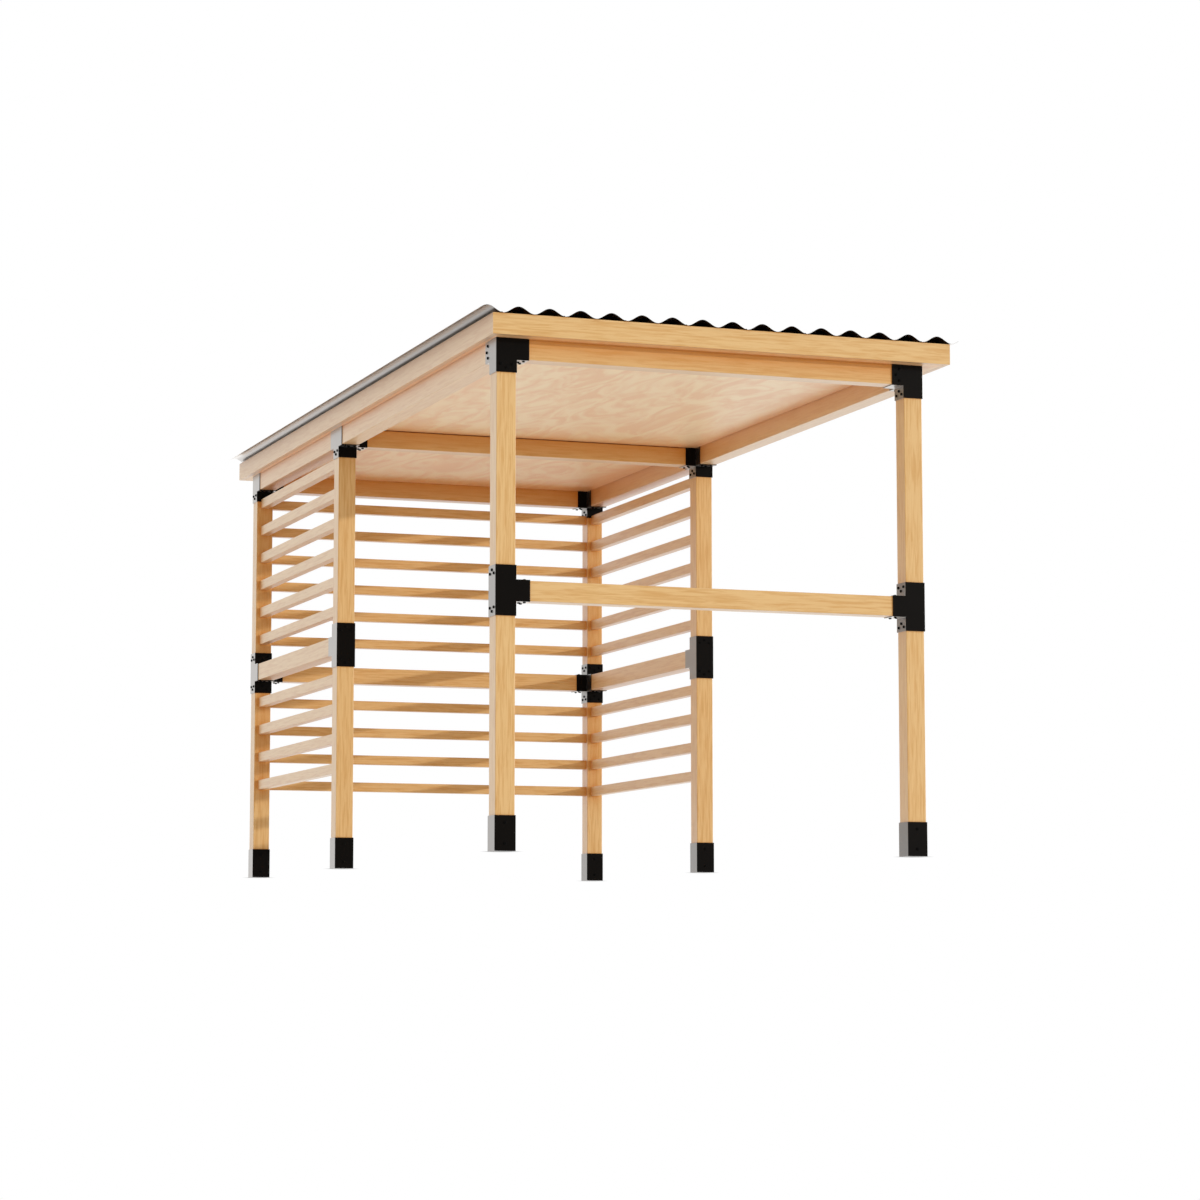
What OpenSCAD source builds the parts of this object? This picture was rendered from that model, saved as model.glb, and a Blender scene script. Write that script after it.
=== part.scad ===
// Timber carport: six square posts in three rows, joined by steel sleeve brackets, with a flat
// boxed roof under a corrugated sheet. The front bay is open at the sides and has one rail
// across its front. The rear bay is closed on three sides by horizontal slats and middle rails.
// Millimetres, +Z up, +Y from front to back. The origin is on the ground at the middle of the
// roof sheet's outline.

/* [Timber frame] */
// Side of the square posts, beams and rails
post = 120; // [100:1:140]
// Arris planed off each long edge of the timbers
arris = 3; // [1:0.5:6]
// Width over the outer faces of the posts
frame_w = 2752; // [2200:1:3400]
// Front row to middle row, centre to centre
front_bay = 3464; // [2600:1:4200]
// Middle row to back row, centre to centre
rear_bay = 2290; // [1600:1:3000]
// Height of the beams' top faces above the ground
frame_h = 3010; // [2600:1:3400]
// Height of the middle rails' centre lines
rail_h = 1520; // [1300:1:1600]

/* [Slats] */
// Height of one slat
slat_h = 69; // [50:1:90]
// Thickness of one slat
slat_t = 60; // [20:1:80]
// Slats above each middle rail
slats_above = 6; // [3:1:6]
// Slats below each middle rail
slats_below = 4; // [2:1:5]
// Distance between slat centres
slat_pitch = 205; // [150:1:205]
// Rail's centre to the first slat above it
slat_first_above = 248; // [210:1:250]
// Rail's centre to the first slat below it
slat_first_below = 220; // [210:1:250]

/* [Brackets] */
// Thickness of the bracket plates
plate = 5; // [3:0.5:6]
// Height of the base sleeves
base_h = 208; // [150:1:260]
// Length of the rail brackets' sleeves beyond the crossing
rail_arm = 85; // [60:1:110]
// Length of the top brackets' sleeves beyond the crossing
top_arm = 76; // [60:1:110]

/* [Roof] */
// Height of the fascia boards
fascia_h = 127; // [100:1:180]
// Thickness of the fascia boards
fascia_t = 35; // [20:1:45]
// Fascia face beyond the front posts
over_front = 101; // [60:1:250]
// Fascia face beyond the back posts
over_back = 225; // [60:1:300]
// Fascia face beyond the left posts
over_left = 56; // [40:1:160]
// Fascia face beyond the right posts
over_right = 147; // [40:1:160]
// Thickness of the ceiling boards
ceiling_t = 12; // [9:1:20]
// Joists between the ceiling and the sheet
joists = 11; // [5:1:16]
// Thickness of one joist
joist_t = 38; // [30:1:50]

/* [Roof sheet] */
// Whole waves across the sheet
waves = 16; // [12:1:20]
// Crest-to-crest pitch of the waves
wave_pitch = 193.5; // [180:0.5:210]
// Height from trough to crest
wave_h = 40; // [20:1:60]
// Thickness of the sheet
sheet_t = 2; // [1:0.5:4]
// Sheet's edge beyond the front and back fascias
sheet_over_end = 8; // [0:1:60]
// Sheet's edge beyond the left fascia
sheet_over_left = 85; // [60:1:120]

/* [Hidden] */

// Outline of the roof sheet, whose middle is the origin
sheet_w = waves * wave_pitch;
sheet_len = sheet_over_end * 2 + over_front + over_back + post + front_bay + rear_bay;
// Outer left and front faces of the front left post
x0 = -sheet_w / 2 + sheet_over_left + over_left;
y0 = -sheet_len / 2 + sheet_over_end + over_front;
// Lower corners of the posts by column and row
LEFT = x0;
RIGHT = x0 + frame_w - post;
FRONT = y0;
MIDDLE = y0 + front_bay;
BACK = y0 + front_bay + rear_bay;
// Undersides of beams, rails and roof
beam_z = frame_h - post;
rail_z = rail_h - post / 2;
roof_z = frame_h + plate;
sheet_z = roof_z + fascia_h;
// Outer faces of the fascia boards
roof_x0 = x0 - over_left;
roof_x1 = x0 + frame_w + over_right;
roof_y0 = y0 - over_front;
roof_y1 = BACK + post + over_back;
// Straight steps in each wave of the sheet
wave_steps = 12;
// Cuts run this far past the faces that they open
past = 1;

timber_tan = "#dcb482";
steel_black = "#17140f";

// Square timber with planed arrises, len long and standing on the XY plane at the origin
module timber(len, w = post, d = post, cut = arris) {
    linear_extrude(height = len)
        polygon([[cut, 0], [w - cut, 0], [w, cut], [w, d - cut],
                 [w - cut, d], [cut, d], [0, d - cut], [0, cut]]);
}

// The same timber lying along +X or +Y, with its lower front left corner at the origin
module timber_x(len, h = post, d = post) {
    translate([0, 0, h]) rotate([0, 90, 0]) timber(len, h, d);
}
module timber_y(len, w = post, h = post) {
    translate([0, len, 0]) rotate([90, 0, 0]) timber(len, w, h);
}

// Post from its base plate to the top of the beams
module wood_post(x, y) {
    color(timber_tan) translate([x, y, plate]) timber(frame_h - plate);
}

// Beam or rail between two posts of one row
module cross_timber(y, z) {
    color(timber_tan) translate([LEFT + post, y, z]) timber_x(frame_w - 2 * post);
}

// Beam or rail between two posts of one column
module side_timber(x, y_near, y_far, z) {
    color(timber_tan) translate([x, y_near + post, z]) timber_y(y_far - y_near - post);
}

// Box sleeve round the space [from, to], with plate walls all round
module sleeve_outside(from, to) {
    translate(from - plate * [1, 1, 1]) cube(to - from + 2 * plate * [1, 1, 1]);
}
module sleeve_inside(from, to) {
    translate(from) cube(to - from);
}

// Base bracket: a square sleeve with a closed bottom for the post to stand on
module base_bracket(x, y) {
    color(steel_black) difference() {
        translate([x - plate, y - plate, 0]) cube([post + 2 * plate, post + 2 * plate, base_h]);
        translate([x, y, plate]) cube([post, post, base_h]);
    }
}

// Bracket at a crossing of timbers whose lower corner is at [x, y, z]. The arms are the lengths
// that its sleeves run beyond the crossing: arm_l and arm_r along X, arm_f and arm_b along Y,
// arm_d and arm_u along Z. A length of 0 leaves a closed face.
module bracket(x, y, z, arm_l = 0, arm_r = 0, arm_f = 0, arm_b = 0, arm_d = 0, arm_u = 0) {
    low = [x, y, z];
    high = low + post * [1, 1, 1];
    open_l = arm_l > 0 ? arm_l + plate + past : 0;
    open_r = arm_r > 0 ? arm_r + plate + past : 0;
    open_f = arm_f > 0 ? arm_f + plate + past : 0;
    open_b = arm_b > 0 ? arm_b + plate + past : 0;
    open_d = arm_d > 0 ? arm_d + plate + past : 0;
    open_u = arm_u > 0 ? arm_u + plate + past : 0;
    color(steel_black) difference() {
        union() {
            sleeve_outside(low - [arm_l, 0, 0], high + [arm_r, 0, 0]);
            sleeve_outside(low - [0, arm_f, 0], high + [0, arm_b, 0]);
            sleeve_outside(low - [0, 0, arm_d], high + [0, 0, arm_u]);
        }
        sleeve_inside(low - [open_l, 0, 0], high + [open_r, 0, 0]);
        sleeve_inside(low - [0, open_f, 0], high + [0, open_b, 0]);
        sleeve_inside(low - [0, 0, open_d], high + [0, 0, open_u]);
    }
}
module rail_bracket(x, y, arm_l = 0, arm_r = 0, arm_f = 0, arm_b = 0) {
    bracket(x, y, rail_z, arm_l, arm_r, arm_f, arm_b, rail_arm, rail_arm);
}
module top_bracket(x, y, arm_l = 0, arm_r = 0, arm_f = 0, arm_b = 0) {
    bracket(x, y, beam_z, arm_l, arm_r, arm_f, arm_b, top_arm, 0);
}

// Undersides of the slats, from the lowest up
slat_zs = concat(
    [for (i = [slats_below - 1:-1:0]) rail_h - slat_first_below - i * slat_pitch - slat_h / 2],
    [for (i = [0:slats_above - 1]) rail_h + slat_first_above + i * slat_pitch - slat_h / 2]);
slat_inset = (post - slat_t) / 2;

// Slats between the two posts of the back row, or of one column of the rear bay
module slats_across(y) {
    color(timber_tan) for (z = slat_zs)
        translate([LEFT + post, y + slat_inset, z]) timber_x(frame_w - 2 * post, slat_h, slat_t);
}
module slats_along(x) {
    color(timber_tan) for (z = slat_zs)
        translate([x + slat_inset, MIDDLE + post, z]) timber_y(rear_bay - post, slat_t, slat_h);
}

// Fascia board with mitred ends, from its outer edge's two corners to its inner edge's two
module fascia(outer_a, outer_b, inner_b, inner_a) {
    color(timber_tan) translate([0, 0, roof_z]) linear_extrude(height = fascia_h)
        polygon([outer_a, outer_b, inner_b, inner_a]);
}
out_fl = [roof_x0, roof_y0];
out_fr = [roof_x1, roof_y0];
out_bl = [roof_x0, roof_y1];
out_br = [roof_x1, roof_y1];
in_fl = out_fl + fascia_t * [1, 1];
in_fr = out_fr + fascia_t * [-1, 1];
in_bl = out_bl + fascia_t * [1, -1];
in_br = out_br + fascia_t * [-1, -1];
in_w = in_fr[0] - in_fl[0];
in_len = in_bl[1] - in_fl[1];

// Ceiling boards, flush with the lower edges of the fascia
module ceiling() {
    color(timber_tan) translate([in_fl[0], in_fl[1], roof_z]) cube([in_w, in_len, ceiling_t]);
}

// Joists across the roof, from the ceiling to the troughs of the sheet
module roof_joists() {
    step = (in_len - joist_t) / (joists - 1);
    color(timber_tan) for (i = [0:joists - 1])
        translate([in_fl[0], in_fl[1] + i * step, roof_z + ceiling_t])
            cube([in_w, joist_t, fascia_h - ceiling_t]);
}

// Corrugated sheet: whole waves that start and end half way up, with troughs on the fascia
function wave_z(i) = wave_h / 2 * (1 + sin(i * 360 / wave_steps));
function wave_x(i) = -sheet_w / 2 + i * wave_pitch / wave_steps;
module roof_sheet() {
    n = waves * wave_steps;
    color(steel_black) translate([0, sheet_len / 2, sheet_z]) rotate([90, 0, 0])
        linear_extrude(height = sheet_len)
            polygon(concat([for (i = [0:n]) [wave_x(i), wave_z(i)]],
                           [for (i = [n:-1:0]) [wave_x(i), wave_z(i) + sheet_t]]));
}

wood_post(LEFT, FRONT);  // post_front_left
wood_post(RIGHT, FRONT);  // post_front_right
wood_post(LEFT, MIDDLE);  // post_middle_left
wood_post(RIGHT, MIDDLE);  // post_middle_right
wood_post(LEFT, BACK);  // post_back_left
wood_post(RIGHT, BACK);  // post_back_right

base_bracket(LEFT, FRONT);  // base_bracket_front_left
base_bracket(RIGHT, FRONT);  // base_bracket_front_right
base_bracket(LEFT, MIDDLE);  // base_bracket_middle_left
base_bracket(RIGHT, MIDDLE);  // base_bracket_middle_right
base_bracket(LEFT, BACK);  // base_bracket_back_left
base_bracket(RIGHT, BACK);  // base_bracket_back_right

rail_bracket(LEFT, FRONT, arm_r = rail_arm);  // rail_bracket_front_left
rail_bracket(RIGHT, FRONT, arm_l = rail_arm);  // rail_bracket_front_right
rail_bracket(LEFT, MIDDLE, arm_b = rail_arm);  // rail_bracket_middle_left
rail_bracket(RIGHT, MIDDLE, arm_b = rail_arm);  // rail_bracket_middle_right
rail_bracket(LEFT, BACK, arm_r = rail_arm, arm_f = rail_arm);  // rail_bracket_back_left
rail_bracket(RIGHT, BACK, arm_l = rail_arm, arm_f = rail_arm);  // rail_bracket_back_right

top_bracket(LEFT, FRONT, arm_r = top_arm, arm_b = top_arm);  // top_bracket_front_left
top_bracket(RIGHT, FRONT, arm_l = top_arm, arm_b = top_arm);  // top_bracket_front_right
top_bracket(LEFT, MIDDLE, arm_r = top_arm, arm_f = top_arm, arm_b = top_arm);  // top_bracket_middle_left
top_bracket(RIGHT, MIDDLE, arm_l = top_arm, arm_f = top_arm, arm_b = top_arm);  // top_bracket_middle_right
top_bracket(LEFT, BACK, arm_r = top_arm, arm_f = top_arm);  // top_bracket_back_left
top_bracket(RIGHT, BACK, arm_l = top_arm, arm_f = top_arm);  // top_bracket_back_right

cross_timber(FRONT, beam_z);  // beam_front
cross_timber(MIDDLE, beam_z);  // beam_middle
cross_timber(BACK, beam_z);  // beam_back
side_timber(LEFT, FRONT, MIDDLE, beam_z);  // beam_left_front
side_timber(LEFT, MIDDLE, BACK, beam_z);  // beam_left_rear
side_timber(RIGHT, FRONT, MIDDLE, beam_z);  // beam_right_front
side_timber(RIGHT, MIDDLE, BACK, beam_z);  // beam_right_rear

cross_timber(FRONT, rail_z);  // rail_front
cross_timber(BACK, rail_z);  // rail_back
side_timber(LEFT, MIDDLE, BACK, rail_z);  // rail_left
side_timber(RIGHT, MIDDLE, BACK, rail_z);  // rail_right

slats_along(LEFT);  // slats_left
slats_along(RIGHT);  // slats_right
slats_across(BACK);  // slats_back

fascia(out_fl, out_fr, in_fr, in_fl);  // fascia_front
fascia(out_br, out_bl, in_bl, in_br);  // fascia_back
fascia(out_bl, out_fl, in_fl, in_bl);  // fascia_left
fascia(out_fr, out_br, in_br, in_fr);  // fascia_right
ceiling();
roof_joists();
roof_sheet();
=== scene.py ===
import math
import random

import bmesh
import bpy
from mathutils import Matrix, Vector


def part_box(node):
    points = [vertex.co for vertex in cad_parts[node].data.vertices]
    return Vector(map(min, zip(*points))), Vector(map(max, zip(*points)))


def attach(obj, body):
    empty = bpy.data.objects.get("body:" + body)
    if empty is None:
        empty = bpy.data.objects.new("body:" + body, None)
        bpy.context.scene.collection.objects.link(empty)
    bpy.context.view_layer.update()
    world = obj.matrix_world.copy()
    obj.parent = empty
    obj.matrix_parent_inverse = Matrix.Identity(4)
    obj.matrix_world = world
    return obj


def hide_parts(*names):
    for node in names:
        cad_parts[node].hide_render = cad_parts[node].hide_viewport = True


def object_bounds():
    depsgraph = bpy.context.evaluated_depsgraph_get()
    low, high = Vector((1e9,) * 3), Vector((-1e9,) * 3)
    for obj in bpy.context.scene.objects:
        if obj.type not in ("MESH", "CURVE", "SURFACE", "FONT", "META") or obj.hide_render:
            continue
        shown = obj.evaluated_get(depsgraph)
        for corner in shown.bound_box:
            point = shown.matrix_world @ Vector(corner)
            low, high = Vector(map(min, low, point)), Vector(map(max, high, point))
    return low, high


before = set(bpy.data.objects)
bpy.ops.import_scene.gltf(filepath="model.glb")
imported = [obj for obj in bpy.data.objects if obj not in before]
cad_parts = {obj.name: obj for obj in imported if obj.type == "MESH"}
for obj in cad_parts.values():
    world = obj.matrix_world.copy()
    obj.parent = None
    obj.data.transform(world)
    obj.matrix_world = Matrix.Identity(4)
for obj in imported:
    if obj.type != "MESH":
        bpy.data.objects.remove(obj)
cad_low, cad_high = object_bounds()

# Base, rail and top brackets: box sleeves cut from 5 mm steel plate, folded and welded, and
# powder-coated a satin black. The sleeves wrap the timbers, and their edges are rounded over
# by grinding, with a small weld fillet in each inner corner.
rows = ("front", "middle", "back")
sides = ("left", "right")
corners = [f"{row}_{side}" for row in rows for side in sides]
bracket_edge = 0.0015
bracket_edge_steps = 3
flat_angle = math.radians(1)
folded_angle = math.radians(30)
coat_sheen = 1.2
coat_sheen_falloff = 2.7
coat_sheen_roughness = 0.3
coat_relief = 0.0004
bracket_black = (0.0018, 0.0011, 0.0006, 1)
bracket_grey = (0.0032, 0.0020, 0.0010, 1)
film_white = (0.97, 0.935, 0.90, 1)


def put(tree, kind, sockets=(), **settings):
    """Adds a shader node. sockets gives inputs a value each, or another node's output to link."""
    node = tree.nodes.new("ShaderNode" + kind)
    for key, value in settings.items():
        setattr(node, key, value)
    for key, value in dict(sockets).items():
        if isinstance(value, bpy.types.NodeSocket):
            tree.links.new(value, node.inputs[key])
        else:
            node.inputs[key].default_value = value
    return node


def new_group(name, inputs, outputs):
    """Starts a node group with named sockets, and returns it with its input and output nodes."""
    group = bpy.data.node_groups.new(name, "ShaderNodeTree")
    for label, kind in inputs:
        group.interface.new_socket(label, in_out="INPUT", socket_type="NodeSocket" + kind)
    for label, kind in outputs:
        group.interface.new_socket(label, in_out="OUTPUT", socket_type="NodeSocket" + kind)
    return group, group.nodes.new("NodeGroupInput"), group.nodes.new("NodeGroupOutput")


def new_material(name):
    """An empty node material, its tree, and its output node's surface socket."""
    material = bpy.data.materials.new(name)
    material.use_nodes = True
    tree = material.node_tree
    tree.nodes.clear()
    output = tree.nodes.new("ShaderNodeOutputMaterial")
    return material, tree, output.inputs["Surface"]


def coat_texture():
    """Powder coat or baked paint: a fine orange peel, and a faint cloudiness in tone and gloss."""
    group, given, result = new_group(
        "coat_texture",
        [("Dark", "Color"), ("Light", "Color"), ("Peel Size", "Float"), ("Gloss", "Float")],
        [("Color", "Color"), ("Roughness", "Float"), ("Height", "Float")])
    place = put(group, "TexCoord").outputs["Object"]
    cloud = put(group, "TexNoise", {"Vector": place, "Scale": 9.0, "Detail": 4.0})
    per_metre = put(group, "Math", {0: 1.0, 1: given.outputs["Peel Size"]}, operation="DIVIDE")
    peel = put(group, "TexNoise", {"Vector": place, "Scale": per_metre.outputs[0], "Detail": 2.0})
    tone = put(group, "Mix", {"Factor": cloud.outputs["Fac"], "A": given.outputs["Dark"],
                              "B": given.outputs["Light"]}, data_type="RGBA")
    shift = put(group, "MapRange", {"Value": cloud.outputs["Fac"], "To Min": -0.06,
                                    "To Max": 0.06})
    rough = put(group, "Math", {0: given.outputs["Gloss"], 1: shift.outputs["Result"]})
    group.links.new(tone.outputs["Result"], result.inputs["Color"])
    group.links.new(rough.outputs[0], result.inputs["Roughness"])
    group.links.new(peel.outputs["Fac"], result.inputs["Height"])
    return group


coat_group = coat_texture()


def with_sheen(tree, surface, shader, relief, share, falloff, roughness):
    """Mixes a clear film's reflection over a shader, from none face on to share edge on. A
    share over 1 makes the film whole before it is edge on."""
    facing = put(tree, "LayerWeight", {"Blend": 0.5}).outputs["Facing"]
    curve = put(tree, "Math", {0: facing, 1: falloff}, operation="POWER")
    amount = put(tree, "Math", {0: curve.outputs[0], 1: share}, operation="MULTIPLY",
                 use_clamp=True)
    film = put(tree, "BsdfPrincipled", {
        "Base Color": film_white, "Metallic": 1.0, "Roughness": roughness,
        "Normal": relief.outputs["Normal"]})
    both = put(tree, "MixShader", {0: amount.outputs[0], 1: shader.outputs[0],
                                   2: film.outputs[0]})
    tree.links.new(both.outputs[0], surface)


def coated_steel(name, dark, light, peel_size, gloss, bump, share=coat_sheen,
                 falloff=coat_sheen_falloff):
    """Steel under a coat of black paint. share is the strength of its shine edge on, and
    falloff is how fast it fades towards face on."""
    material, tree, surface = new_material(name)
    coat = put(tree, "Group", node_tree=coat_group)
    coat.inputs["Dark"].default_value = dark
    coat.inputs["Light"].default_value = light
    coat.inputs["Peel Size"].default_value = peel_size
    coat.inputs["Gloss"].default_value = gloss
    relief = put(tree, "Bump", {"Height": coat.outputs["Height"], "Strength": bump,
                                "Distance": coat_relief})
    paint = put(tree, "BsdfPrincipled", {
        "Base Color": coat.outputs["Color"], "Roughness": coat.outputs["Roughness"],
        "Normal": relief.outputs["Normal"], "Specular IOR Level": 0.05})
    with_sheen(tree, surface, paint, relief, share, falloff, coat_sheen_roughness)
    return material


bracket_coat = coated_steel("bracket_powder_coat", bracket_black, bracket_grey,
                            peel_size=0.0012, gloss=0.42, bump=0.10)


def finished(name, mesh, materials, slot, *nodes):
    """Makes the piece from its mesh on the root body, and hides the CAD parts it replaces."""
    piece = bpy.data.objects.new(name, mesh)
    bpy.context.scene.collection.objects.link(piece)
    for material in materials:
        mesh.materials.append(material)
    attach(piece, "root")
    if nodes:
        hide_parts(*nodes)


def bracket_shell(node):
    """The bracket with its plate edges rounded."""
    work = bmesh.new()
    work.from_mesh(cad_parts[node].data)
    bmesh.ops.remove_doubles(work, verts=work.verts, dist=1e-5)
    bmesh.ops.dissolve_limit(work, angle_limit=flat_angle, verts=work.verts, edges=work.edges)
    turned = [e for e in work.edges if e.calc_face_angle(0) > folded_angle]
    bmesh.ops.bevel(work, geom=turned, offset=bracket_edge, segments=bracket_edge_steps,
                    profile=0.5, affect="EDGES", clamp_overlap=True)
    mesh = bpy.data.meshes.new(node)
    work.to_mesh(mesh)
    work.free()
    return mesh


for kind in ("base", "rail", "top"):
    for corner in corners:
        node = f"{kind}_bracket_{corner}"
        shell = bracket_shell(node)
        finished(f"{kind}_sleeve_{corner}", shell, [bracket_coat], "bracket_steel", node)

# Bracket screws: black structural screws with low round heads and a six-lobed drive, driven
# through the plates into the timbers. Each sleeve has three in a triangle on a face, with its
# point outward on the faces without an arm, and each base has two in line, front and back.
plate = 0.005
post_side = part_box("post_front_left")[1].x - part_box("post_front_left")[0].x
rail_arm = 0.085
top_arm = 0.076
head_outline = [(0.0086, 0.0), (0.0086, 0.0042), (0.0079, 0.0055), (0.0062, 0.0061),
                (0.0040, 0.0063), (0.0034, 0.0063), (0.0031, 0.0060), (0.0029, 0.0030)]
screw_dark = (0.0012, 0.0011, 0.0010, 1)
screw_grey = (0.0040, 0.0036, 0.0032, 1)
screw_black = coated_steel("screw_black_oxide", screw_dark, screw_grey, peel_size=0.0006,
                           gloss=0.60, bump=0.05, share=0.0)
head_sides = 24
drive_lobes = 6
drive_depth = 0.10
lobed_rings = 3
screw_sideways = 0.036
screw_crease = math.radians(35)
pair_inset, point_inset = 0.027, 0.050
turned_pair_inset, turned_point_inset = 0.050, 0.028
base_screw_heights = (0.044, 0.165)
X, Y, Z = range(3)
rail_arms = {"front_left": [(X, 1)], "front_right": [(X, -1)],
             "middle_left": [(Y, 1)], "middle_right": [(Y, 1)],
             "back_left": [(X, 1), (Y, -1)], "back_right": [(X, -1), (Y, -1)]}
top_arms = {"front_left": [(X, 1), (Y, 1)], "front_right": [(X, -1), (Y, 1)],
            "middle_left": [(X, 1), (Y, 1), (Y, -1)], "middle_right": [(X, -1), (Y, 1), (Y, -1)],
            "back_left": [(X, 1), (Y, -1)], "back_right": [(X, -1), (Y, -1)]}


def turned_head(work, place, normal, outline, sides, lobes=0, lobed=0):
    """Adds a round head turned from its outline of radius and height. Its last rings can be
    lobed, for the drive."""
    turn = Vector(normal).to_track_quat("Z", "Y")
    start = random.uniform(0, 2 * math.pi)
    rings = []
    for index, (radius, height) in enumerate(outline):
        ring = []
        for i in range(sides):
            angle = start + 2 * math.pi * i / sides
            reach = radius
            if index >= len(outline) - lobed:
                reach = radius * (1 + drive_depth * math.cos(lobes * (angle - start)))
            point = Vector((reach * math.cos(angle), reach * math.sin(angle), height))
            ring.append(work.verts.new(place + turn @ point))
        rings.append(ring)
    for under, over in zip(rings, rings[1:]):
        for i in range(sides):
            work.faces.new((under[i], under[(i + 1) % sides], over[(i + 1) % sides], over[i]))
    work.faces.new(reversed(rings[0]))
    work.faces.new(rings[-1])


def screw_triangle(work, low, arm, length, face, inner):
    """Adds three screws on one face of an arm's sleeve. low is the crossing's lower corner,
    and the insets are from the sleeve's end to the pair of screws and to the third one."""
    (along, forward), (across, outward) = arm, face
    sideways = 3 - along - across
    normal = Vector((0, 0, 0))
    normal[across] = outward
    pair, point = pair_inset, point_inset
    if not inner:
        pair, point = turned_pair_inset, turned_point_inset
    for inward, aside in ((pair, -screw_sideways), (pair, screw_sideways), (point, 0.0)):
        place = Vector(low) + Vector((post_side, post_side, post_side)) / 2
        place[along] += forward * (post_side / 2 + length + plate - inward)
        place[across] += outward * (post_side / 2 + plate)
        place[sideways] += aside
        turned_head(work, place, normal, head_outline, head_sides, drive_lobes, lobed_rings)


def screw_piece(work, name):
    """Finishes one bracket's screws as a single piece, smooth but for the drive's edges."""
    mesh = bpy.data.meshes.new(name)
    work.to_mesh(mesh)
    work.free()
    mesh.shade_smooth()
    mesh.set_sharp_from_angle(angle=screw_crease)
    finished(name, mesh, [screw_black], "bracket_steel")


random.seed(3)
for corner in corners:
    low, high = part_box(f"post_{corner}")
    work = bmesh.new()
    for face_y, outward in ((low.y - plate, -1), (high.y + plate, 1)):
        for height in base_screw_heights:
            place = Vector(((low.x + high.x) / 2, face_y, height))
            turned_head(work, place, (0, outward, 0), head_outline, head_sides, drive_lobes,
                        lobed_rings)
    screw_piece(work, f"base_screws_{corner}")

    crossing = Vector((low.x, low.y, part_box("rail_front")[0].z))
    arms = rail_arms[corner]
    opposite = [(axis, -sign) for axis, sign in arms]
    work = bmesh.new()
    for face in arms + opposite:
        for leg in ((Z, 1), (Z, -1)):
            screw_triangle(work, crossing, leg, rail_arm, face, face in arms)
    for arm in arms:
        for face in ((Z, 1), (Z, -1)):
            screw_triangle(work, crossing, arm, rail_arm, face, True)
    screw_piece(work, f"rail_screws_{corner}")

    crossing = Vector((low.x, low.y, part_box("beam_front")[0].z))
    arms = top_arms[corner]
    leg_faces = [(Y, 1), (Y, -1)] if corner == "front_left" else [(X, 1), (X, -1)]
    work = bmesh.new()
    for face in leg_faces:
        screw_triangle(work, crossing, (Z, -1), top_arm, face, face in arms)
    for arm in arms:
        axis = arm[0]
        if (corner, axis) in (("front_left", Y), ("front_right", X)):
            faces = [(X + Y - axis, 1), (X + Y - axis, -1)]
        else:
            faces = [(Z, -1)]
        for face in faces:
            screw_triangle(work, crossing, arm, top_arm, face, face in arms or face == (Z, -1))
    screw_piece(work, f"top_screws_{corner}")

# Posts: six planed softwood posts, 120 mm square, with rounded arrises and a clear satin
# stain. Their feet stand in the base brackets and their heads reach the top of the beams.
random.seed(7)
wood_pale = (0.785, 0.522, 0.236, 1)
wood_streak = (0.665, 0.375, 0.128, 1)
# Painted shade: the colour the wood darkens to near where two surfaces meet, and how far it
# reaches.
wood_shade_color = (0.610, 0.235, 0.030, 1)
shade_reach = 0.20
wood_ease = 0.004
ease_steps = 4
pith_distances = (0.05, 0.16)
longest_log = 40
stain_roughness = 0.50
stain_sheen = 0.55
stain_sheen_falloff = 1.8
stain_sheen_roughness = 0.4


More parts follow.
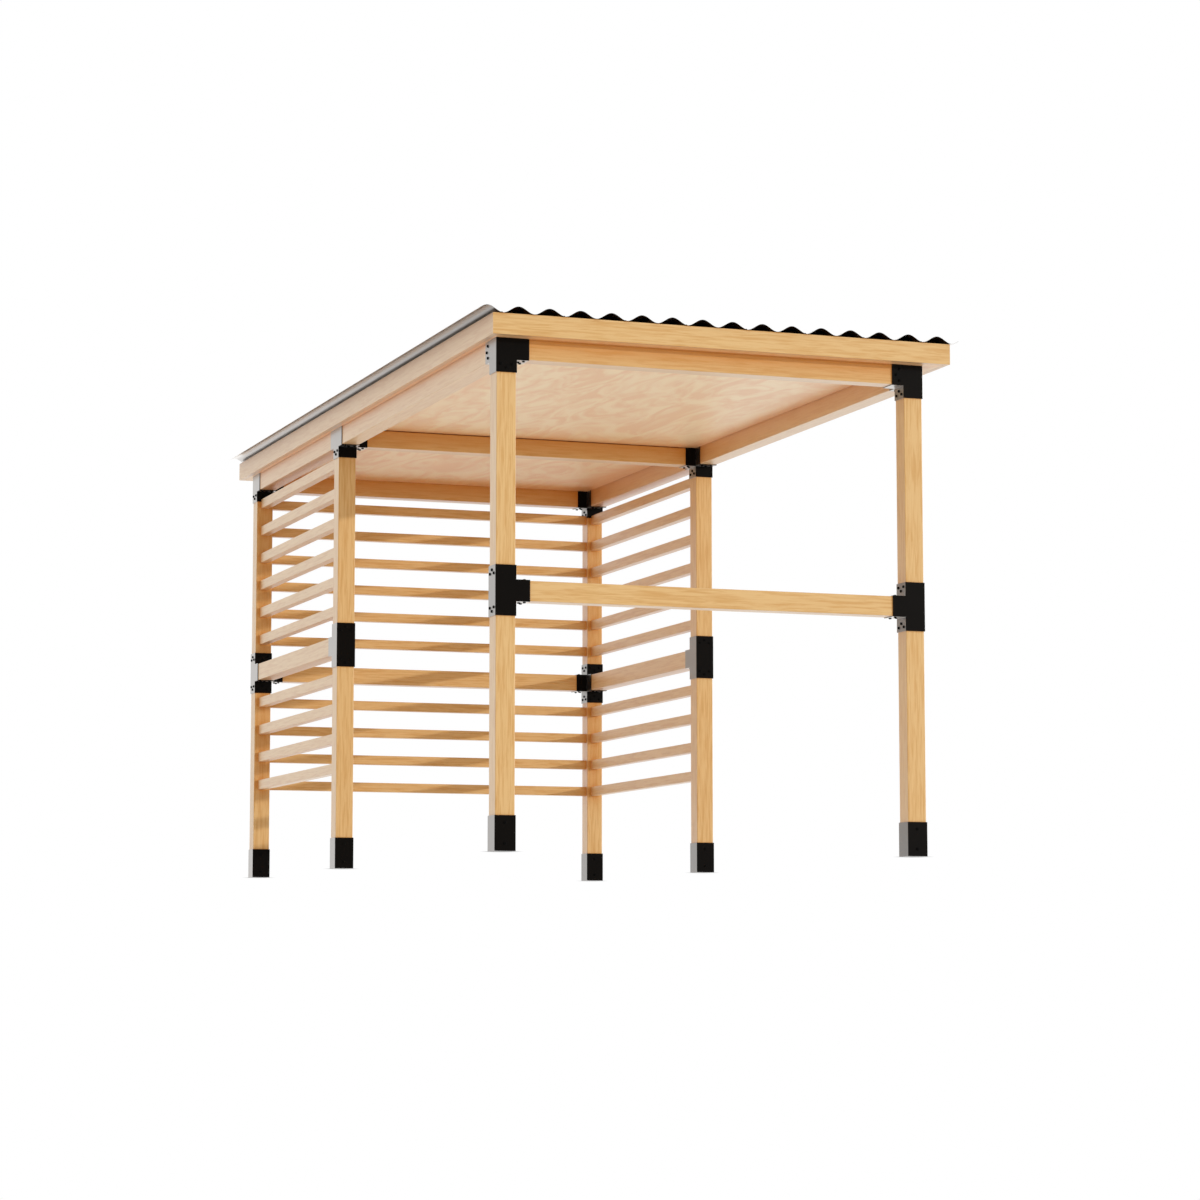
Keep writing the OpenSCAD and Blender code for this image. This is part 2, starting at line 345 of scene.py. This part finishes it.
def timber_grain():
    """Softwood: growth rings round a pith beside the stick, long streaks and a fine fibre.
    Place is in metres: along the stick, and across it from the pith."""
    group, given, result = new_group(
        "timber_grain",
        [("Place", "Vector"), ("Pale", "Color"), ("Streak", "Color"), ("Ring Width", "Float"),
         ("Contrast", "Float"), ("Gloss", "Float")],
        [("Color", "Color"), ("Roughness", "Float"), ("Height", "Float")])

    def noise(scales, detail, roughness=0.5, distortion=0.0):
        place = put(group, "VectorMath", {0: given.outputs["Place"], 1: scales},
                    operation="MULTIPLY")
        return put(group, "TexNoise", {"Vector": place.outputs[0], "Scale": 1.0,
                                       "Detail": detail, "Roughness": roughness,
                                       "Distortion": distortion})

    def combine(operation, a, b):
        return put(group, "Math", {0: a, 1: b}, operation=operation).outputs[0]

    bend = noise((1.1, 7.0, 7.0), 3.0)
    shift = put(group, "VectorMath", {0: bend.outputs["Color"], 1: (0.0, 0.045, 0.045)},
                operation="MULTIPLY")
    moved = put(group, "VectorMath", {0: given.outputs["Place"], 1: shift.outputs[0]})
    flat = put(group, "VectorMath", {0: moved.outputs[0], 1: (0.0, 1.0, 1.0)},
               operation="MULTIPLY")
    radius = put(group, "VectorMath", {0: flat.outputs[0]}, operation="LENGTH")
    turns = combine("DIVIDE", radius.outputs["Value"], given.outputs["Ring Width"])
    ring = combine("FRACT", turns, 0.0)
    late = combine("POWER", ring, 2.5)
    streaks = noise((4.5, 80.0, 80.0), 3.0, 0.60, 0.4)
    streak = put(group, "MapRange", {"Value": streaks.outputs["Fac"], "From Min": 0.44,
                                     "From Max": 0.64})
    fibres = noise((45.0, 900.0, 900.0), 2.0)
    board = noise((0.6, 3.0, 3.0), 2.0)
    rings = combine("MULTIPLY", late, combine("MULTIPLY", board.outputs["Fac"], 0.75))
    marks = combine("ADD", combine("MULTIPLY", rings, 0.55),
                    combine("MULTIPLY", streak.outputs["Result"], 0.80))
    marks = combine("ADD", marks, combine("MULTIPLY", fibres.outputs["Fac"], 0.12))
    depth = combine("MULTIPLY", marks, given.outputs["Contrast"])
    tone = put(group, "Mix", {"Factor": depth, "A": given.outputs["Pale"],
                              "B": given.outputs["Streak"]}, data_type="RGBA")
    dull = put(group, "MapRange", {"Value": marks, "To Min": -0.04, "To Max": 0.07})
    rough = combine("ADD", given.outputs["Gloss"], dull.outputs["Result"])
    sunk = combine("SUBTRACT", fibres.outputs["Fac"], marks)
    group.links.new(tone.outputs["Result"], result.inputs["Color"])
    group.links.new(rough, result.inputs["Roughness"])
    group.links.new(sunk, result.inputs["Height"])
    return group


def painted_corner_shade():
    """Painted shade: darkens the colour within Reach metres of where two surfaces meet."""
    group, given, result = new_group(
        "painted_corner_shade", [("Color", "Color"), ("Shaded", "Color"), ("Reach", "Float")],
        [("Color", "Color")])
    corner = put(group, "AmbientOcclusion", {"Distance": given.outputs["Reach"]}, samples=4)
    shade_amount = put(group, "MapRange", {"Value": corner.outputs["AO"], "From Min": 0.96,
                                     "From Max": 0.50})
    tone = put(group, "Mix", {"Factor": shade_amount.outputs["Result"], "A": given.outputs["Color"],
                              "B": given.outputs["Shaded"]}, data_type="RGBA")
    group.links.new(tone.outputs["Result"], result.inputs["Color"])
    return group


grain_group = timber_grain()
corner_shade_group = painted_corner_shade()


def stained_timber(name, pale, streak, ring_width, contrast):
    """Planed softwood under a clear stain, darkened by painted shade where surfaces meet.
    The grain runs by the mesh's grain_place.
    """
    material, tree, surface = new_material(name)
    place = put(tree, "Attribute", attribute_name="grain_place")
    grain = put(tree, "Group", node_tree=grain_group)
    tree.links.new(place.outputs["Vector"], grain.inputs["Place"])
    grain.inputs["Pale"].default_value = pale
    grain.inputs["Streak"].default_value = streak
    grain.inputs["Ring Width"].default_value = ring_width
    grain.inputs["Contrast"].default_value = contrast
    grain.inputs["Gloss"].default_value = stain_roughness
    relief = put(tree, "Bump", {"Height": grain.outputs["Height"], "Strength": 0.10,
                                "Distance": 0.0006})
    # Painted shade: the grain's colour darkens near where surfaces meet.
    corner_shade = put(tree, "Group", node_tree=corner_shade_group)
    tree.links.new(grain.outputs["Color"], corner_shade.inputs["Color"])
    corner_shade.inputs["Shaded"].default_value = wood_shade_color
    corner_shade.inputs["Reach"].default_value = shade_reach
    wood = put(tree, "BsdfPrincipled", {
        "Base Color": corner_shade.outputs["Color"], "Roughness": grain.outputs["Roughness"],
        "Normal": relief.outputs["Normal"], "Specular IOR Level": 0.3})
    with_sheen(tree, surface, wood, relief, stain_sheen, stain_sheen_falloff,
               stain_sheen_roughness)
    return material


frame_wood = stained_timber("frame_timber_stain", wood_pale, wood_streak, ring_width=0.011,
                            contrast=1.0)


def add_stick(work, low, high, ease, outer=None):
    """Adds a straight timber that fills the box from low to high, its long edges rounded to
    the radius ease. outer, if given, is the short axis and the sign of the face that keeps
    the full length, because the ends are mitred at 45 degrees from there."""
    size = high - low
    along = max(range(3), key=lambda axis: size[axis])
    a, b = [axis for axis in range(3) if axis != along]
    outline = []
    for centre_a, centre_b, start in ((high[a] - ease, high[b] - ease, 0),
                                      (low[a] + ease, high[b] - ease, 1),
                                      (low[a] + ease, low[b] + ease, 2),
                                      (high[a] - ease, low[b] + ease, 3)):
        for step in range(ease_steps + 1):
            angle = (start + step / ease_steps) * math.pi / 2
            outline.append((centre_a + ease * math.cos(angle), centre_b + ease * math.sin(angle)))
    pith_angle = random.uniform(0, 2 * math.pi)
    pith_distance = random.uniform(*pith_distances)
    pith = (pith_distance * math.cos(pith_angle), pith_distance * math.sin(pith_angle))
    start_along = random.uniform(0, longest_log)
    grain = work.verts.layers.float_vector["grain_place"]
    rings = []
    for end, inward in ((low[along], 1), (high[along], -1)):
        ring = []
        for p, q in outline:
            point = [0.0, 0.0, 0.0]
            point[a], point[b] = p, q
            cut = 0.0
            if outer:
                axis, sign = outer
                cut = abs(point[axis] - (high[axis] if sign > 0 else low[axis]))
            point[along] = end + inward * cut
            vert = work.verts.new(point)
            vert[grain] = (point[along] - low[along] + start_along,
                           p - (low[a] + high[a]) / 2 + pith[0],
                           q - (low[b] + high[b]) / 2 + pith[1])
            ring.append(vert)
        rings.append(ring)
    first, last = rings
    count = len(outline)
    for i in range(count):
        work.faces.new((first[i], first[(i + 1) % count], last[(i + 1) % count], last[i]))
    work.faces.new(reversed(first))
    work.faces.new(last)


def stick_mesh(name, boxes, ease=wood_ease, outer=None):
    """One mesh of straight timbers, one for each box."""
    work = bmesh.new()
    work.verts.layers.float_vector.new("grain_place")
    for low, high in boxes:
        add_stick(work, low, high, ease, outer)
    bmesh.ops.recalc_face_normals(work, faces=work.faces)
    mesh = bpy.data.meshes.new(name)
    work.to_mesh(mesh)
    work.free()
    return mesh


for corner in corners:
    node = f"post_{corner}"
    mesh = stick_mesh(node, [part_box(node)])
    finished(f"timber_post_{corner}", mesh, [frame_wood], "timber", node)

# Beams and middle rails: the same planed timber, sawn square and held between the posts in
# the brackets' sleeves. The front row has one rail, and the rear bay has one on three sides.
for node in ("beam_front", "beam_middle", "beam_back", "beam_left_front", "beam_left_rear",
             "beam_right_front", "beam_right_rear",
             "rail_front", "rail_back", "rail_left", "rail_right"):
    mesh = stick_mesh(node, [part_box(node)])
    finished(f"timber_{node}", mesh, [frame_wood], "timber", node)

# Packing strips: thin softwood strips on top of the outer beams, between the top brackets, that
# take up the thickness of the bracket plates. The middle beam has none, and keeps its gap.
strip_ease = 0.0005
for node in ("beam_front", "beam_back", "beam_left_front", "beam_left_rear",
             "beam_right_front", "beam_right_rear"):
    low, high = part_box(node)
    along = X if high.x - low.x > high.y - low.y else Y
    low[along] += top_arm + plate
    high[along] -= top_arm + plate
    low.z, high.z = high.z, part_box("ceiling")[0].z
    mesh = stick_mesh(f"strip_{node}", [(low, high)], strip_ease)
    finished(f"packing_strip_{node}", mesh, [frame_wood], "timber")

# Slats: planed battens cut to fit between the posts of the rear bay, ten to a side. They are
# lighter stock than the posts, with finer rings and the same stain.
slat_ease = 0.003
slat_wood = stained_timber("slat_stain", wood_pale, wood_streak, ring_width=0.008, contrast=1.0)


def solids(node):
    """The boxes of a CAD node's separate solids, from the lowest and nearest on."""
    work = bmesh.new()
    work.from_mesh(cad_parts[node].data)
    bmesh.ops.remove_doubles(work, verts=work.verts, dist=1e-5)
    left = set(work.verts)
    boxes = []
    while left:
        island, todo = set(), [left.pop()]
        while todo:
            vert = todo.pop()
            island.add(vert)
            for edge in vert.link_edges:
                other = edge.other_vert(vert)
                if other in left:
                    left.discard(other)
                    todo.append(other)
        boxes.append(tuple(Vector(pick(v.co[axis] for v in island) for axis in range(3))
                           for pick in (min, max)))
    work.free()
    return sorted(boxes, key=lambda box: (round(box[0].z, 4), round(box[0].y, 4)))


for side in ("left", "right", "back"):
    node = f"slats_{side}"
    mesh = stick_mesh(node, solids(node), slat_ease)
    finished(f"timber_{node}", mesh, [slat_wood], "slat_timber", node)

# Roof box: four fascia boards on edge, mitred at the corners, and eleven joists that span
# between the long ones. The joists are hidden between the ceiling and the sheet.
fascia_ease = 0.002
joist_ease = 0.001
fascia_wood = stained_timber("fascia_stain", wood_pale, wood_streak, ring_width=0.012,
                             contrast=1.0)
for side, outer in (("front", (Y, -1)), ("back", (Y, 1)), ("left", (X, -1)), ("right", (X, 1))):
    node = f"fascia_{side}"
    mesh = stick_mesh(node, [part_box(node)], fascia_ease, outer)
    finished(f"board_{node}", mesh, [fascia_wood], "roof_timber", node)
mesh = stick_mesh("joists", solids("roof_joists"), joist_ease)
finished("timber_roof_joists", mesh, [frame_wood], "roof_timber", "roof_joists")

# Ceiling: smooth plywood under the joists, flush with the fascia's lower edges, with the
# swirling figure of a rotary-cut veneer and the same clear stain, and painted shade that
# darkens it near the parts that meet it.
ply_pale = (0.985, 0.745, 0.385, 1)
ply_dark = (0.880, 0.500, 0.185, 1)
# Painted shade: the colour the ceiling darkens to near the parts that meet it, and how far it
# reaches.
ply_shade_color = (0.840, 0.350, 0.055, 1)
ply_shade_reach = 0.50
ply_stretch = (1.6, 0.50, 1.0)
ply_sheen = 0.52
ply_sheen_roughness = 0.5


def veneer_stain():
    """Rotary-cut veneer: broad swirls drawn out along the sheet, with fine lines in them,
    darkened by painted shade near the parts that meet it.
    """
    material, tree, surface = new_material("ceiling_veneer")
    place = put(tree, "TexCoord").outputs["Object"]
    stretched = put(tree, "VectorMath", {0: place, 1: ply_stretch}, operation="MULTIPLY")
    swirl = put(tree, "TexNoise", {"Vector": stretched.outputs[0], "Scale": 1.2, "Detail": 3.0,
                                   "Roughness": 0.55, "Distortion": 1.6})
    lines = put(tree, "TexNoise", {"Vector": stretched.outputs[0], "Scale": 2.8, "Detail": 5.0,
                                   "Roughness": 0.5, "Distortion": 2.4})
    both = put(tree, "Mix", {"Factor": 0.85, "A": swirl.outputs["Fac"],
                             "B": lines.outputs["Fac"]})
    depth = put(tree, "MapRange", {"Value": both.outputs["Result"], "From Min": 0.42,
                                   "From Max": 0.60})
    tone = put(tree, "Mix", {"Factor": depth.outputs["Result"], "A": ply_pale, "B": ply_dark},
               data_type="RGBA")
    # Painted shade near the parts that meet the ceiling.
    corner_shade = put(tree, "Group", node_tree=corner_shade_group)
    tree.links.new(tone.outputs["Result"], corner_shade.inputs["Color"])
    corner_shade.inputs["Shaded"].default_value = ply_shade_color
    corner_shade.inputs["Reach"].default_value = ply_shade_reach
    dull = put(tree, "MapRange", {"Value": depth.outputs["Result"], "To Min": 0.45,
                                  "To Max": 0.55})
    relief = put(tree, "Bump", {"Height": lines.outputs["Fac"], "Strength": 0.05,
                                "Distance": 0.0005})
    veneer = put(tree, "BsdfPrincipled", {
        "Base Color": corner_shade.outputs["Color"], "Roughness": dull.outputs["Result"],
        "Normal": relief.outputs["Normal"], "Specular IOR Level": 0.3})
    with_sheen(tree, surface, veneer, relief, ply_sheen, stain_sheen_falloff,
               ply_sheen_roughness)
    return material


ceiling_veneer = veneer_stain()
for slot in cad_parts["ceiling"].material_slots:
    slot.material = ceiling_veneer

# Roof sheet: corrugated steel, rolled thin and coated black, in four widths that lap over a
# whole wave. It runs in one length from front to back, with its troughs on the fascia.
sheet_waves = 16
sheet_gauge = 0.0008
steps_per_wave = 24
lap_waves = 1
widths = 4
sheet_crease = math.radians(40)
sheet_coat = coated_steel("sheet_paint", bracket_black, bracket_grey, peel_size=0.002,
                          gloss=0.34, bump=0.05, share=2.4, falloff=4.2)
sheet_low, sheet_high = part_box("roof_sheet")
wave_pitch = (sheet_high.x - sheet_low.x) / sheet_waves
cad_gauge = 0.002
wave_height = sheet_high.z - sheet_low.z - cad_gauge


def wave_point(x):
    """Height of the sheet's underside and its slope at x."""
    turn = 2 * math.pi * (x - sheet_low.x) / wave_pitch
    height = sheet_low.z + wave_height / 2 * (1 + math.sin(turn))
    slope = wave_height / 2 * math.cos(turn) * 2 * math.pi / wave_pitch
    return height, slope


def add_sheet(work, x_from, x_to, lift):
    """Adds one width of sheet, with its true thickness, lift above the fascia."""
    steps = round((x_to - x_from) / wave_pitch * steps_per_wave)
    under, over = [], []
    for i in range(steps + 1):
        x = x_from + (x_to - x_from) * i / steps
        height, slope = wave_point(x)
        normal = Vector((-slope, 0, 1)).normalized()
        low_point = Vector((x, 0, height + lift))
        under.append(low_point)
        over.append(low_point + normal * sheet_gauge)
    loop = under + over[::-1]
    near = [work.verts.new((min(max(p.x, sheet_low.x), sheet_high.x), sheet_low.y, p.z))
            for p in loop]
    far = [work.verts.new((v.co.x, sheet_high.y, v.co.z)) for v in near]
    count = len(loop)
    for i in range(count):
        work.faces.new((near[i], near[(i + 1) % count], far[(i + 1) % count], far[i]))
    for end in (near, far):
        for i in range(steps):
            work.faces.new((end[i], end[i + 1], end[count - 2 - i], end[count - 1 - i]))


work = bmesh.new()
for width in range(widths):
    first_wave = width * sheet_waves // widths - (lap_waves if width else 0)
    last_wave = (width + 1) * sheet_waves // widths
    lift = sheet_gauge * (width % 2)
    add_sheet(work, sheet_low.x + first_wave * wave_pitch, sheet_low.x + last_wave * wave_pitch,
              lift)
bmesh.ops.recalc_face_normals(work, faces=work.faces)
mesh = bpy.data.meshes.new("sheet")
work.to_mesh(mesh)
work.free()
mesh.shade_smooth()
mesh.set_sharp_from_angle(angle=sheet_crease)
finished("corrugated_sheet", mesh, [sheet_coat], "sheet_steel", "roof_sheet")

# Sheet fixings: hex-headed roofing screws with a sealing washer, in every other trough over
# each joist and both end boards, coated black like the sheet.
washer_outline = [(0.0085, 0.0), (0.0085, 0.0010), (0.0072, 0.0018)]
hex_outline = [(0.0066, 0.0018), (0.0066, 0.0026), (0.0048, 0.0032), (0.0048, 0.0075),
               (0.0042, 0.0082)]
hex_sides = 6
washer_sides = 20
waves_to_a_screw = 2
trough_of_wave = 0.75
random.seed(5)
rows_y = [(low.y + high.y) / 2 for low, high in solids("roof_joists")]
for side in ("front", "back"):
    low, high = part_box(f"fascia_{side}")
    rows_y.append((low.y + high.y) / 2)
work = bmesh.new()
for y in rows_y:
    for wave in range(0, sheet_waves, waves_to_a_screw):
        x = sheet_low.x + (wave + trough_of_wave) * wave_pitch
        place = Vector((x, y, sheet_low.z + 2 * sheet_gauge))
        turned_head(work, place, (0, 0, 1), washer_outline, washer_sides)
        turned_head(work, place, (0, 0, 1), hex_outline, hex_sides)
screw_mesh = bpy.data.meshes.new("sheet_screws")
work.to_mesh(screw_mesh)
work.free()
finished("sheet_screws", screw_mesh, [sheet_coat], "sheet_steel")

# Floor, light and camera: a pale studio floor that holds the shadow, white surroundings, and
# one low sun from the front right. The camera stands below the floor's level and looks up at
# the roof, so the floor is clear from underneath.
floor_radius = 60.0
floor_drop = 0.0005
floor_white = (0.94, 0.94, 0.94, 1)
floor_lift = 0.30
pure_white = (1, 1, 1, 1)
floor_material, tree, surface = new_material("floor")
path = put(tree, "LightPath")
matt = put(tree, "BsdfDiffuse", {"Color": floor_white})
glow = put(tree, "Emission", {"Color": pure_white, "Strength": 1.0})
clear = put(tree, "BsdfTransparent")
lift = put(tree, "Emission", {"Color": pure_white, "Strength": floor_lift})
seen = put(tree, "AddShader", {0: matt.outputs[0], 1: lift.outputs[0]})
lit = put(tree, "MixShader", {0: path.outputs["Is Camera Ray"], 1: matt.outputs[0],
                              2: seen.outputs[0]})
shiny = put(tree, "Math", {0: path.outputs["Is Glossy Ray"],
                           1: path.outputs["Is Transmission Ray"]}, operation="MAXIMUM")
above = put(tree, "MixShader", {0: shiny.outputs[0], 1: lit.outputs[0], 2: glow.outputs[0]})
below = put(tree, "NewGeometry").outputs["Backfacing"]
both = put(tree, "MixShader", {0: below, 1: above.outputs[0], 2: clear.outputs[0]})
tree.links.new(both.outputs[0], surface)
work = bmesh.new()
bmesh.ops.create_circle(work, cap_ends=True, segments=64, radius=floor_radius)
mesh = bpy.data.meshes.new("floor")
work.to_mesh(mesh)
work.free()
mesh.materials.append(floor_material)
floor = bpy.data.objects.new("floor", mesh)
bpy.context.scene.collection.objects.link(floor)
floor.location.z = cad_low.z - floor_drop

# Painted shadow: a grey disc under each foot, fading out from its middle, stands in for the
# contact shadow seen from below the floor.
foot_shade = 0.75
foot_core = 0.05
foot_reach = 0.130
foot_drop = 0.001
shade_grey = (0.2, 0.2, 0.2, 1)
shade_material, tree, surface = new_material("foot_shade")
place = put(tree, "TexCoord").outputs["Object"]
distance = put(tree, "VectorMath", {0: place}, operation="LENGTH")
fade = put(tree, "MapRange", {"Value": distance.outputs["Value"], "From Min": foot_core,
                              "From Max": foot_reach, "To Min": foot_shade, "To Max": 0.0})
grey = put(tree, "Emission", {"Color": shade_grey, "Strength": 1.0})
clear = put(tree, "BsdfTransparent")
both = put(tree, "MixShader", {0: fade.outputs["Result"], 1: clear.outputs[0],
                               2: grey.outputs[0]})
tree.links.new(both.outputs[0], surface)
for corner in corners:
    low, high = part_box(f"base_bracket_{corner}")
    work = bmesh.new()
    bmesh.ops.create_circle(work, cap_ends=True, segments=32, radius=foot_reach)
    mesh = bpy.data.meshes.new(f"foot_shade_{corner}")
    work.to_mesh(mesh)
    work.free()
    mesh.materials.append(shade_material)
    shade = bpy.data.objects.new(f"foot_shade_{corner}", mesh)
    bpy.context.scene.collection.objects.link(shade)
    shade.location = ((low.x + high.x) / 2, (low.y + high.y) / 2, cad_low.z - foot_drop)

sky_tint = (1.0, 0.95, 0.875, 1)
sky_below = 0.55
sky_above = 0.84
world = bpy.data.worlds.new("studio")
bpy.context.scene.world = world
world.use_nodes = True
tree = world.node_tree
tree.nodes.clear()
path = put(tree, "LightPath")
seen = put(tree, "Math", {0: path.outputs["Is Camera Ray"],
                          1: path.outputs["Is Transmission Ray"]}, operation="MAXIMUM")
seen = put(tree, "Math", {0: seen.outputs[0], 1: path.outputs["Is Glossy Ray"]},
           operation="MAXIMUM")
direction = put(tree, "SeparateXYZ", {0: put(tree, "TexCoord").outputs["Generated"]})
height = put(tree, "MapRange", {"Value": direction.outputs["Z"], "To Min": sky_below,
                                "To Max": sky_above})
light = put(tree, "Background", {"Color": sky_tint, "Strength": height.outputs["Result"]})
white = put(tree, "Background", {"Color": pure_white, "Strength": 1.0})
shown = put(tree, "MixShader", {0: seen.outputs[0], 1: light.outputs[0], 2: white.outputs[0]})
output = tree.nodes.new("ShaderNodeOutputWorld")
tree.links.new(shown.outputs[0], output.inputs["Surface"])

sun_direction = Vector((-1.65, 1.0, -0.307))
sun_strength = 1.6
sun_width = math.radians(0.8)
lamp = bpy.data.lights.new("sun", "SUN")
lamp.energy = sun_strength
lamp.angle = sun_width
sun = bpy.data.objects.new("sun", lamp)
sun.rotation_euler = sun_direction.to_track_quat("-Z", "Y").to_euler()
bpy.context.scene.collection.objects.link(sun)

camera_place = (-7.3565, -21.1624, -0.688)
camera_up = 0.1119
camera_right = 0.3483
focal_length = 98.97
sensor_width = 36
lens = bpy.data.cameras.new("camera")
lens.sensor_width = sensor_width
lens.lens = focal_length
camera = bpy.data.objects.new("camera", lens)
camera.location = camera_place
camera.rotation_euler = (math.pi / 2 + camera_up, 0, -camera_right)
bpy.context.scene.collection.objects.link(camera)
bpy.context.scene.camera = camera
bpy.context.scene.view_settings.view_transform = "Standard"
